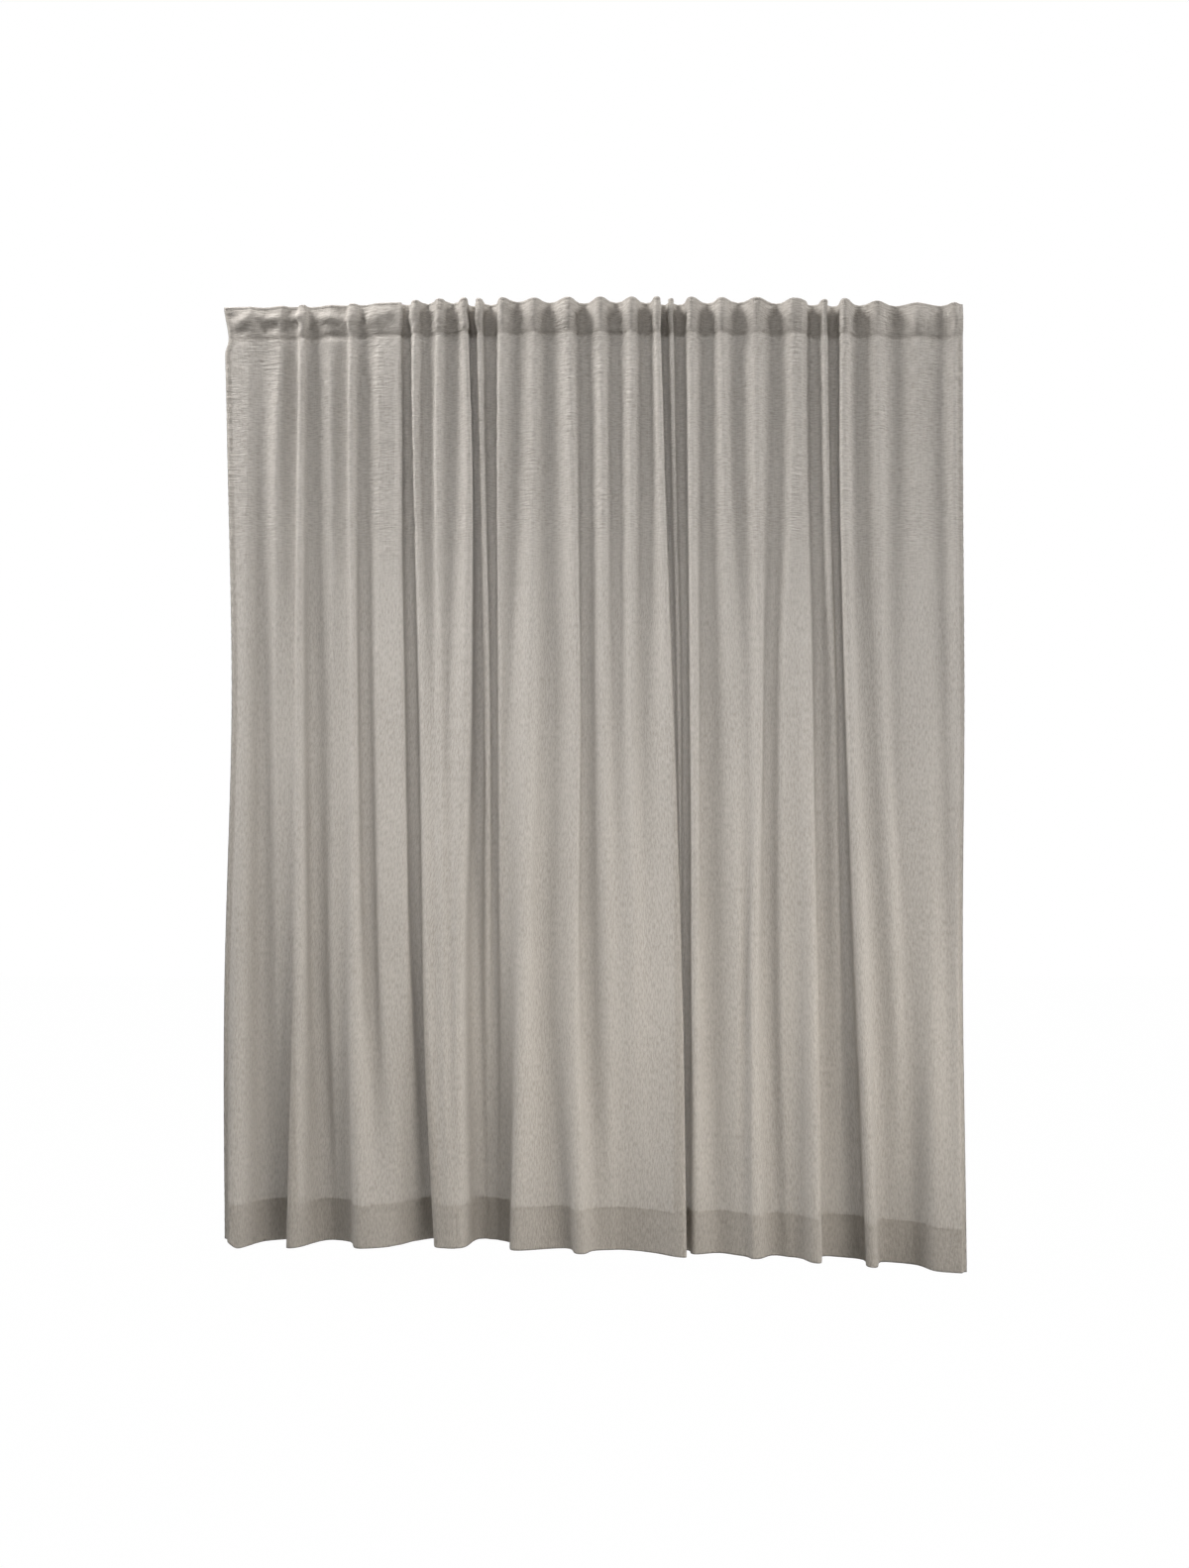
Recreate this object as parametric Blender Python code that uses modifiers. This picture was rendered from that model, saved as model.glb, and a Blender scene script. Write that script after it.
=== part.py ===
"""A sheer linen voile curtain: one wide panel, gathered at its heading, hanging in soft uneven folds.

Run it with: blender --background --python part.py

+X is to the right, -Y is towards the room and +Z is up, in metres. The origin is the middle of
the top edge, where the curtain is held. Nothing that it hangs from is part of it.
"""

import bmesh
import bpy
import numpy as np

NAME = "sheer_curtain"
MM = 0.001

# ---- Cloth ----
FLAT_WIDTH = 2.95  # the panel laid flat, between its two side edges
DROP = 2.50  # from the top edge to the hem, at the middle
CLOTH_THICKNESS = 1.2 * MM
CLOTH_COLOUR = (0.402, 0.376, 0.333, 1.0)
TAPE_COLOUR = (0.36, 0.335, 0.29, 1.0)
ROUGHNESS = 0.92

# ---- Heading ----
HEADING_HEIGHT = 85 * MM  # from the top edge down to the stitched line
HEADING_PUFF = 5 * MM  # how far the gathered band bulges forward above the stitched line
HEADING_DRAW_IN = 0.88  # share of their depth that the folds keep at the stitched line
TOP_FLARE = 1.10  # the loose top edge folds a little deeper than the cloth below it
LET_OUT = 150 * MM  # the folds are back at full depth this far below the stitched line
CREST_LIFT = 3 * MM  # the stiffened top edge stands this much higher on a crest than in a valley
CREST_DEPTH = 22 * MM  # how far forward a full crest stands in the heading
TAPE_TOP = 9 * MM  # the tape starts this far below the top edge
TAPE_THICKNESS = 1.0 * MM
TAPE_GAP = 0.5 * MM

# ---- Outline ----
# Height of the top edge and drop of the hem, in millimetres, at places across the curtain.
EDGE_PLACES = (-972, -650, -360, -260, 0, 350, 520, 620, 760, 972)
TOP_HEIGHTS = (-20, -12, -1, 0, 2, 1, 0, -2, -7, -10)
HEM_DROPS = (2478, 2478, 2477, 2482, 2493, 2501, 2509, 2516, 2534, 2545)
EDGE_EASE = 60 * MM  # the outline turns this gently from one stretch to the next
CORNER_LIFT = 22 * MM  # the tight side hem draws the lower left corner up
CORNER_WIDTH = 40 * MM
CORNER_HEIGHT = 240 * MM

# ---- Folds ----
# Distances below the top edge at which the table gives a fold line's place and its depth.
PLACE_STATIONS = (0.0, 0.36, 1.03, 1.81, DROP)
DEPTH_STATIONS = (0.0, 0.36, 1.03, 1.81, DROP)

# Every crest and valley line that runs down the cloth, from the left side hem to the right one.
# place: millimetres to the right of the middle, at the top, upper, middle, low and hem stations.
# forward: millimetres towards the room at the upper, middle, low and hem stations. Some fade
# into a slope or a broad crest lower down, where small top folds run together into large ones.
FOLD_LINES = (
    # line        top  upper middle  low   hem    upper mid  low  hem
    ("edge", (-972, -964, -952, -970, -965), (2, 4, 6, 28)),
    ("crest", (-908, -912, -915, -932, -944), (10, 12, 22, 54)),
    ("valley", (-866, -872, -873, -872, -856), (-14, -26, -36, -40)),
    ("crest", (-822, -834, -832, -830, -826), (10, 2, -20, -50)),
    ("valley", (-789, -791, -789, -799, -797), (-18, 2, -20, -58)),
    ("crest", (-766, -770, -775, -774, -793), (22, 22, 28, 46)),
    ("valley", (-741, -744, -742, -728, -696), (-28, -32, -36, -48)),
    ("crest", (-692, -692, -682, -681, -671), (4, -2, 0, -42)),
    ("valley", (-655, -658, -650, -660, -658), (-14, 2, 0, -36)),
    ("crest", (-636, -639, -631, -628, -608), (22, 22, 32, 50)),
    ("valley", (-606, -607, -605, -585, -556), (-20, -22, -12, 40)),
    ("crest", (-564, -562, -562, -548, -518), (14, 14, 16, 16)),
    ("crest", (-515, -514, -510, -499, -468), (10, 16, 14, -34)),
    ("valley", (-498, -492, -484, -463, -413), (-36, -42, -48, -62)),
    ("crest", (-470, -470, -447, -434, -408), (22, 12, 26, 44)),
    ("valley", (-438, -438, -424, -416, -393), (-18, 6, 22, 47)),
    ("crest", (-406, -411, -402, -395, -377), (22, 16, 30, 50)),
    ("valley", (-372, -375, -385, -374, -367), (-18, 6, 26, 50)),
    ("crest", (-342, -331, -338, -358, -358), (24, 26, 32, 46)),
    ("valley", (-318, -310, -298, -310, -290), (-46, -54, -48, -72)),
    ("crest", (-304, -296, -282, -281, -276), (18, 14, -30, -68)),
    ("valley", (-274, -272, -265, -263, -260), (-38, -34, -40, -66)),
    ("crest", (-241, -247, -246, -244, -247), (22, 8, -16, -58)),
    ("valley", (-203, -212, -229, -237, -239), (-14, -2, -12, -54)),
    ("crest", (-158, -160, -172, -187, -206), (18, 26, 32, 46)),
    ("valley", (-118, -118, -117, -133, -76), (-20, -16, -10, -4)),
    ("crest", (-70, -61, -46, -54, -38), (22, 20, 22, 54)),
    ("valley", (-28, -23, -31, -23, 6), (-28, -26, -18, 8)),
    ("crest", (14, 20, 24, 38, 42), (22, 16, 10, -2)),
    ("valley", (57, 55, 60, 66, 68), (-22, -8, 8, -8)),
    ("crest", (97, 96, 96, 104, 112), (22, 16, 14, 0)),
    ("valley", (136, 138, 130, 140, 150), (-24, -6, 10, 16)),
    ("crest", (163, 172, 194, 224, 231), (24, 24, 22, 62)),
    ("valley", (187, 196, 214, 220, 214), (-42, -40, -34, -16)),
    ("crest", (200, 206, 221, 226, 221), (12, -20, -28, -20)),
    ("valley", (220, 226, 237, 240, 238), (-42, -44, -40, -20)),
    ("crest", (253, 254, 261, 264, 264), (22, 24, 24, 24)),
    ("valley", (298, 296, 290, 292, 326), (-24, -22, -14, 2)),
    ("crest", (333, 338, 358, 377, 372), (20, 16, 16, 20)),
    ("valley", (378, 375, 402, 396, 392), (-20, 4, 10, 30)),
    ("crest", (424, 424, 430, 413, 416), (22, 20, 26, 54)),
    ("valley", (479, 478, 458, 456, 478), (-24, -18, -14, 2)),
    ("crest", (521, 522, 500, 497, 510), (20, 14, 8, 12)),
    ("valley", (537, 540, 530, 530, 528), (16, 12, 6, 14)),
    ("crest", (550, 552, 557, 569, 575), (4, 20, 34, 62)),
    ("valley", (576, 583, 593, 601, 612), (-36, -34, -36, -28)),
    ("crest", (603, 608, 628, 644, 648), (14, -8, -22, -32)),
    ("valley", (628, 630, 646, 667, 696), (-42, -38, -34, -36)),
    ("crest", (654, 652, 668, 699, 722), (24, 24, 28, 46)),
    ("valley", (698, 699, 708, 744, 770), (-24, -12, -12, -34)),
    ("crest", (740, 743, 755, 790, 808), (14, 8, 2, -34)),
    ("valley", (792, 790, 785, 824, 837), (-22, -10, -8, -28)),
    ("crest", (846, 846, 870, 888, 897), (8, 8, 14, 38)),
    ("valley", (912, 914, 923, 928, 931), (-16, -8, 8, 44)),
    ("crest", (943, 943, 949, 949, 952), (12, 10, 16, 46)),
    ("edge", (967, 968, 971, 967, 972), (-2, -2, 2, 30)),
)
BEND_AT_TOP = 9 * MM  # radius of the cloth over a crest, at the top and at the hem
BEND_AT_HEM = 22 * MM
STEEPEST_LEAN = 1.2
LEAST_SPAN = 1 * MM

# ---- Mesh ----
COLUMN_SHARES = (0.0, 0.25, 0.75)  # columns from one fold line to the next, close to the crests
FINE_SHARES = tuple(step / 12 for step in range(12))
PANEL_ROWS = (
    0.0, 0.010, 0.035, 0.062, HEADING_HEIGHT, 0.115, 0.20, 0.36,
    0.60, 0.90, 1.20, 1.52, 1.81, 2.08, 2.30, 2.43, DROP,
)  # fmt: skip
TAPE_ROWS = (TAPE_TOP, 0.035, 0.062, HEADING_HEIGHT)


def clear_scene():
    for item in list(bpy.data.objects):
        bpy.data.objects.remove(item, do_unlink=True)


def fabric(name, colour):
    material = bpy.data.materials.new(name)
    material.use_nodes = True
    surface = material.node_tree.nodes["Principled BSDF"]
    surface.inputs["Base Color"].default_value = colour
    surface.inputs["Roughness"].default_value = ROUGHNESS
    surface.inputs["Metallic"].default_value = 0.0
    return material


def smooth_step(t):
    t = np.clip(t, 0.0, 1.0)
    return t * t * (3 - 2 * t)


def smooth_along(stations, values, at):
    """A smooth curve through each row of values at the stations, read at one distance."""
    stations = np.asarray(stations, float)
    slopes = np.gradient(values, stations, axis=1)
    right = int(np.clip(np.searchsorted(stations, at), 1, len(stations) - 1))
    left = right - 1
    span = stations[right] - stations[left]
    t = (at - stations[left]) / span
    return (
        values[:, left] * (2 * t**3 - 3 * t**2 + 1)
        + values[:, right] * (3 * t**2 - 2 * t**3)
        + slopes[:, left] * span * (t**3 - 2 * t**2 + t)
        + slopes[:, right] * span * (t**3 - t**2)
    )


def fold_lines_at(drop):
    """Place and forward depth of every fold line at a distance below the top edge."""
    places = np.array([place for _, place, _ in FOLD_LINES]) * MM
    depths = np.array([(depth[0], *depth) for _, _, depth in FOLD_LINES]) * MM
    return smooth_along(PLACE_STATIONS, places, drop), smooth_along(DEPTH_STATIONS, depths, drop)


def leans(across, rise):
    """The slope of the cloth at each fold line: none on a crest or in a valley, and the mean
    slope where the line lies part of the way up the side of a larger fold."""
    lean = np.zeros(len(across) + 1)
    before, after = rise[:-1], rise[1:]
    climbs = before * after > 0
    mean_rise = np.where(climbs, 2 * before * after / np.where(climbs, before + after, 1.0), 0.0)
    mean_across = (np.abs(across[:-1]) + np.abs(across[1:])) / 2 + LEAST_SPAN
    lean[1:-1] = np.clip(mean_rise / mean_across, -STEEPEST_LEAN, STEEPEST_LEAN)
    return lean


def section(drop, depth_scale, shares):
    """The cloth's line in plan at one height, as points (x, forward).

    The stretch between two fold lines is a cubic curve whose pull sets how round the crest is.
    Where a crest stands over the next valley, the curve doubles back, as an overlapping fold does.
    """
    x, forward = fold_lines_at(drop)
    forward = forward * depth_scale
    across, rise = np.diff(x), np.diff(forward)
    lean = leans(across, rise)
    bend = BEND_AT_TOP + (BEND_AT_HEM - BEND_AT_TOP) * smooth_step(drop / DROP)
    pull = np.sqrt(6 * np.abs(rise) * bend)
    pull = np.clip(pull, 0.6 * np.hypot(across, 0.3 * rise), 2.5 * np.hypot(across, 0.5 * rise))
    pull = pull[:, None]
    t = np.array(shares)[None, :]
    ease = 3 * t**2 - 2 * t**3
    leaving = t**3 - 2 * t**2 + t
    arriving = t**3 - t**2
    points_x = x[:-1, None] + across[:, None] * ease + pull * (leaving + arriving)
    slopes = lean[:-1, None] * leaving + lean[1:, None] * arriving
    points_forward = forward[:-1, None] + rise[:, None] * ease + pull * slopes
    return np.append(points_x, x[-1]), np.append(points_forward, forward[-1])


def length_of(x, forward):
    return float(np.hypot(np.diff(x), np.diff(forward)).sum())


def depth_scale_at(drop):
    """How much deeper than in the table the folds are, so that the cloth keeps its flat width."""
    low, high = 0.5, 1.8
    for _ in range(24):
        middle = (low + high) / 2
        if length_of(*section(drop, middle, FINE_SHARES)) < FLAT_WIDTH:
            low = middle
        else:
            high = middle
    return (low + high) / 2


def heading_share(drop):
    """What the heading does to the folds' depth: flared at the top edge, drawn in at the stitches."""
    down = smooth_step(drop / HEADING_HEIGHT)
    out = smooth_step((drop - HEADING_HEIGHT) / LET_OUT)
    in_band = TOP_FLARE + (HEADING_DRAW_IN - TOP_FLARE) * down
    return in_band + (1 - in_band) * out


def edge_height(values, x):
    """The outline at x: straight stretches between the table's places, rounded where they meet."""
    places = np.array(EDGE_PLACES) * MM
    heights = np.array(values) * MM
    return np.mean([np.interp(x + shift, places, heights) for shift in (-EDGE_EASE, 0, EDGE_EASE)], axis=0)


def cloth_row(drop, shares=COLUMN_SHARES):
    """One row of the cloth as points (x, y, z), with y away from the room."""
    x, forward = section(drop, depth_scale_at(drop) * heading_share(drop), shares)
    fade = 1 - smooth_step(drop / HEADING_HEIGHT)
    stands = np.clip(forward / CREST_DEPTH, -1, 1) * CREST_LIFT * fade
    if drop < HEADING_HEIGHT:
        forward = forward + HEADING_PUFF * np.sin(np.pi * drop / HEADING_HEIGHT)
    top = edge_height(TOP_HEIGHTS, x)
    hem = -edge_height(HEM_DROPS, x)
    z = top + (hem - top) * drop / DROP + stands
    near_corner = smooth_step(1 - (x - x.min()) / CORNER_WIDTH)
    z = z + CORNER_LIFT * near_corner * smooth_step(1 - (DROP - drop) / CORNER_HEIGHT)
    return np.stack([x, -forward, z], axis=1)


def set_back(row, distance):
    """The row moved to the back of the cloth by a distance, square to it in plan."""
    step = np.diff(row[:, :2], axis=0)
    normal = np.stack([-step[:, 1], step[:, 0]], axis=1)
    normal /= np.linalg.norm(normal, axis=1, keepdims=True)
    before = np.vstack([normal[:1], normal])
    after = np.vstack([normal, normal[-1:]])
    mean = before + after
    mean /= np.linalg.norm(mean, axis=1, keepdims=True)
    miter = distance / np.maximum((mean * after).sum(axis=1), 0.5)
    moved = row.copy()
    moved[:, :2] += mean * miter[:, None]
    return moved


def sheet(name, rows, thickness, material, collection):
    """A grid laid through the rows, top row first, thickened away from the room."""
    across = len(rows[0]) - 1
    down = len(rows) - 1
    mesh = bpy.data.meshes.new(name)
    grid = bmesh.new()
    bmesh.ops.create_grid(grid, x_segments=across, y_segments=down, size=0.5)
    for vertex in grid.verts:
        column = round((vertex.co.x + 0.5) * across)
        row = round((0.5 - vertex.co.y) * down)
        vertex.co = rows[row][column]
    grid.to_mesh(mesh)
    grid.free()
    mesh.shade_smooth()
    cloth = bpy.data.objects.new(name, mesh)
    cloth.data.materials.append(material)
    collection.objects.link(cloth)
    wall = cloth.modifiers.new("thickness", "SOLIDIFY")
    wall.thickness = thickness
    wall.offset = -1.0
    wall.use_even_offset = True
    return cloth


def build():
    clear_scene()
    collection = bpy.data.collections.new(NAME)
    bpy.context.scene.collection.children.link(collection)
    voile = fabric("voile", CLOTH_COLOUR)
    tape = fabric("heading_tape", TAPE_COLOUR)
    panel_rows = [cloth_row(drop) for drop in PANEL_ROWS]
    sheet("curtain_panel", panel_rows, CLOTH_THICKNESS, voile, collection)
    behind = CLOTH_THICKNESS + TAPE_GAP
    tape_rows = [set_back(cloth_row(drop), behind) for drop in TAPE_ROWS]
    sheet("heading_tape", tape_rows, TAPE_THICKNESS, tape, collection)


build()
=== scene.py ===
# %% [markdown]
# # Dressing a sheer voile curtain
#
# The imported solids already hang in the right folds, but they are thick and plain. This lesson
# gives them the look of the real curtain: a thin voile with turned hems, soft creases, sewn lines
# and an uneven linen weave that lets some of the light through.
#
# Sizes are in metres. +X is to the right, -Y is towards the room and +Z is up. The origin is the
# middle of the top edge, where the curtain is held.

import math

import bpy
import numpy as np
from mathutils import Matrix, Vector


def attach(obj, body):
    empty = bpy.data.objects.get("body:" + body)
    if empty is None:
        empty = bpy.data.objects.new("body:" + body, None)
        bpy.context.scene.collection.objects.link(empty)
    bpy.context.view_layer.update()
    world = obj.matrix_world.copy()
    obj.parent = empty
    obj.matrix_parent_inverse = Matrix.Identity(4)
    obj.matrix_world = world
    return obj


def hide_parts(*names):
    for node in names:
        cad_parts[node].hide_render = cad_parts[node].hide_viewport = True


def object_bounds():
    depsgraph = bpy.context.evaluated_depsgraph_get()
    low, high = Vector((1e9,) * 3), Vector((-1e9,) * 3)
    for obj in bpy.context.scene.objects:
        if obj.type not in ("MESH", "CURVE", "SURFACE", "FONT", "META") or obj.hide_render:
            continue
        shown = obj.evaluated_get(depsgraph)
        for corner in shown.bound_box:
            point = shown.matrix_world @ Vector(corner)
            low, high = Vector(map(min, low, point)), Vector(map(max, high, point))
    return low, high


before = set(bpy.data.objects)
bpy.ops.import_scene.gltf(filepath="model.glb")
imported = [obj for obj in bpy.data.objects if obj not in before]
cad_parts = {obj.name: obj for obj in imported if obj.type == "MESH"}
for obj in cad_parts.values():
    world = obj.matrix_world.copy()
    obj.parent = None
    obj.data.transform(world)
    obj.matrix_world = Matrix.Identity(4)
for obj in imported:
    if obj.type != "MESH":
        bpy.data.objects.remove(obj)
cad_low, cad_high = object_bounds()
MM = 0.001
print("solids:", sorted(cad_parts))
print("their box in mm:", [round((b - a) / MM, 1) for a, b in zip(cad_low, cad_high)])

# %% [markdown]
# ## The camera
#
# The curtain is seen square on, from about the height of its middle. A camera that is level and
# looks straight along +Y keeps the sides upright. Its distance matters, because the hem shows how
# far each fold stands forward: at 4.5 m a fold 100 mm deep moves the hem by about 27 mm.

# %% Place the camera
CAMERA_DISTANCE = 4.5
CAMERA_DROP = 1.270  # the camera is this far below the top edge
SHOWN_HEIGHT = 4.116  # what the picture shows from top to bottom, at the curtain
SENSOR = 36.0

camera_data = bpy.data.cameras.new("camera")
camera = bpy.data.objects.new("camera", camera_data)
bpy.context.scene.collection.objects.link(camera)
camera.location = (0.0, -CAMERA_DISTANCE, -CAMERA_DROP)
camera.rotation_euler = (math.radians(90), 0.0, 0.0)
camera_data.sensor_width = SENSOR
camera_data.lens = SENSOR * CAMERA_DISTANCE / SHOWN_HEIGHT
bpy.context.scene.camera = camera
print("lens in mm:", round(camera_data.lens, 2))

# %% [markdown]
# ## A pale room with soft light
#
# A voile shows its folds in two ways. Light from the front shades them as it does any cloth, and
# light from behind comes through, less of it where the cloth lies double. So two large soft
# lights stand high at the sides, where they graze the folds, and a third comes from above. Two
# weak ones in front fill the middle and the hem. Behind the curtain a large one lights its lower
# half, and a small one the heading. The room itself is white to the eye but gives only a little
# light, so the folds keep their shade.

# %% Choose the room and the lights
FLOOR_GAP = 14 * MM  # the hem hangs just clear of the floor
FLOOR_SIZE = 14.0
FLOOR_GLOW = 0.995  # the floor is nearly as white to the eye as the room
FLOOR_COLOUR = (0.38, 0.38, 0.37, 1.0)  # what it is to the light, so that little comes back up
CLEAR = (1.005, 1.0, 1.015)
WARM = (1.05, 1.0, 0.94)
ROOM_FILL = 0.03  # how bright the room is to the light
ROOM_WHITE = (1.0, 1.0, 1.0, 1.0)  # how bright it is to the eye
LIGHTS = (
    # name, turn, rise, away, aim_z, width, height, watts, spread and tint
    ("left_light", -76, 45, 4.0, -0.6, 1.6, 1.6, 226.0, 180, CLEAR),
    ("right_light", 76, 35, 5.5, -0.6, 2.2, 2.2, 230.0, 180, CLEAR),
    ("top_light", 0, 60, 3.5, -1.0, 4.0, 1.6, 43.0, 180, CLEAR),
    ("low_front_light", 38, 5, 2.6, -2.1, 2.4, 0.8, 6.0, 60, WARM),
    ("front_light", 0, 0, 2.6, -0.95, 2.8, 0.8, 3.4, 46, CLEAR),
    ("back_light", 180, 0, 1.6, -1.6, 2.2, 1.2, 12.0, 90, CLEAR),
    ("high_back_light", 180, 30, 1.8, 0.0, 2.4, 0.3, 3.5, 50, CLEAR),
)
print("lights:", len(LIGHTS))

# %% Helpers for materials, sheets and lights
def new_material(name):
    """An empty node material: its tree and its output node."""
    material = bpy.data.materials.new(name)
    material.use_nodes = True
    tree = material.node_tree
    tree.nodes.clear()
    return material, tree, tree.nodes.new("ShaderNodeOutputMaterial")


def node(tree, kind, settings=(), **inputs):
    """A new node with its settings and inputs. An input that is a socket is linked."""
    made = tree.nodes.new(kind)
    for name, value in dict(settings).items():
        setattr(made, name, value)
    for name, value in inputs.items():
        key = int(name[1:]) if name[1:].isdigit() else name.replace("_", " ")
        if isinstance(value, bpy.types.NodeSocket):
            tree.links.new(value, made.inputs[key])
        else:
            made.inputs[key].default_value = value
    return made


def maths(tree, operation, first, second=0.0, third=0.0):
    """The result socket of a Math node."""
    made = node(tree, "ShaderNodeMath", {"operation": operation}, _0=first, _1=second, _2=third)
    return made.outputs[0]


def grid_object(name, points, material):
    """A sheet through a grid of points, rows from the top and columns from the left."""
    down, across = points.shape[0] - 1, points.shape[1] - 1
    number = np.arange((down + 1) * (across + 1)).reshape(down + 1, across + 1)
    corners = (number[:-1, :-1], number[1:, :-1], number[1:, 1:], number[:-1, 1:])
    faces = np.stack(corners, axis=-1).reshape(-1, 4)
    mesh = bpy.data.meshes.new(name)
    mesh.from_pydata(points.reshape(-1, 3).tolist(), [], faces.tolist())
    mesh.materials.append(material)
    mesh.shade_smooth()
    made = bpy.data.objects.new(name, mesh)
    bpy.context.scene.collection.objects.link(made)
    return made


def area_light(name, turn, rise, away, aim_z, width, height, watts, spread, tint):
    """A soft rectangular light that the camera does not see.

    It looks at the curtain's middle line, at height aim_z. turn is in degrees to the right of the
    camera's side, rise is above the level, and spread is how wide its beam is.
    """
    data = bpy.data.lights.new(name, "AREA")
    data.shape = "RECTANGLE"
    data.size = width
    data.size_y = height
    data.energy = watts
    data.spread = math.radians(spread)
    data.color = tint
    light = bpy.data.objects.new(name, data)
    bpy.context.scene.collection.objects.link(light)
    across, up = math.radians(turn), math.radians(rise)
    way = Vector((math.sin(across) * math.cos(up), -math.cos(across) * math.cos(up), math.sin(up)))
    light.location = Vector((0.0, 0.0, aim_z)) + way * away
    light.rotation_euler = way.to_track_quat("Z", "Y").to_euler()
    light.visible_camera = False


print("helpers for materials, sheets and lights: ready")

# %% Lay the floor and light the room
floor_paint, floor_tree, floor_out = new_material("floor_paint")
floor_seen = node(floor_tree, "ShaderNodeLightPath").outputs["Is Camera Ray"]
floor_both = node(
    floor_tree,
    "ShaderNodeMixShader",
    _0=maths(floor_tree, "MULTIPLY", floor_seen, FLOOR_GLOW),
    _1=node(floor_tree, "ShaderNodeBsdfDiffuse", Color=FLOOR_COLOUR).outputs[0],
    _2=node(floor_tree, "ShaderNodeEmission", Strength=1.0).outputs[0],
)
floor_tree.links.new(floor_both.outputs[0], floor_out.inputs["Surface"])

floor_drop = cad_low.z - FLOOR_GAP
half = FLOOR_SIZE / 2
floor_points = np.array(
    [
        [(-half, half, floor_drop), (half, half, floor_drop)],
        [(-half, -half, floor_drop), (half, -half, floor_drop)],
    ]
)
floor = grid_object("floor", floor_points, floor_paint)

world = bpy.data.worlds.new("white_room")
bpy.context.scene.world = world
world.use_nodes = True
room = world.node_tree
room.nodes.clear()
seen_or_lit = node(
    room,
    "ShaderNodeMix",
    {"data_type": "RGBA"},
    _0=node(room, "ShaderNodeLightPath").outputs["Is Camera Ray"],
    _6=(*[ROOM_FILL * share for share in WARM], 1.0),
    _7=ROOM_WHITE,
)
room_white = node(room, "ShaderNodeBackground", Color=seen_or_lit.outputs[2])
node(room, "ShaderNodeOutputWorld", Surface=room_white.outputs[0])

for light in LIGHTS:
    area_light(*light)
bpy.context.scene.view_settings.view_transform = "Standard"
bpy.context.scene.cycles.transparent_max_bounces = 24
print("floor at", round(floor_drop, 3), "and", len(LIGHTS), "lights")

# %% [markdown]
# ## The folds
#
# A hung panel keeps its folds from top to bottom, so they can be described by lines that run down
# the cloth: each crest and each valley has a place from left to right, and a distance towards the
# room, at a few heights. These are the same lines that shape the solids. Between two lines the
# cloth follows a smooth cubic curve in plan, and a deeper or shallower fold takes up whatever
# keeps the whole panel at its flat width of 2.95 m.

# %% Describe the folds
FLAT_WIDTH = 2.95
DROP = 2.50
HEADING_HEIGHT = 85 * MM
HEADING_PUFF = 1 * MM  # the whole band stands this far forward between its sewn lines
HEADING_DRAW_IN = 0.88  # the folds' depth at the heading seam
TOP_FLARE = 1.10  # and at the top edge
LET_OUT = 150 * MM  # below the seam they are back to full depth after this far
CREST_LIFT = 3 * MM  # crests stand higher than valleys along the top edge
CREST_DEPTH = 22 * MM

# The outline of the top and bottom edges, in millimetres: places across, and heights there.
EDGE_PLACES = (-972, -650, -360, -260, 0, 350, 520, 620, 760, 972)
TOP_HEIGHTS = (-20, -12, -1, 0, 2, 1, 0, -2, -7, -10)
HEM_DROPS = (2478, 2478, 2477, 2482, 2493, 2501, 2509, 2516, 2534, 2545)
EDGE_EASE = 60 * MM
CORNER_LIFT = 22 * MM  # the bottom corner on the left curls up
CORNER_WIDTH = 40 * MM
CORNER_HEIGHT = 240 * MM

STATIONS = (0.0, 0.36, 1.03, 1.81, DROP)  # distances below the top edge
print("a panel of", FLAT_WIDTH, "by", DROP, "m")

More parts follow.
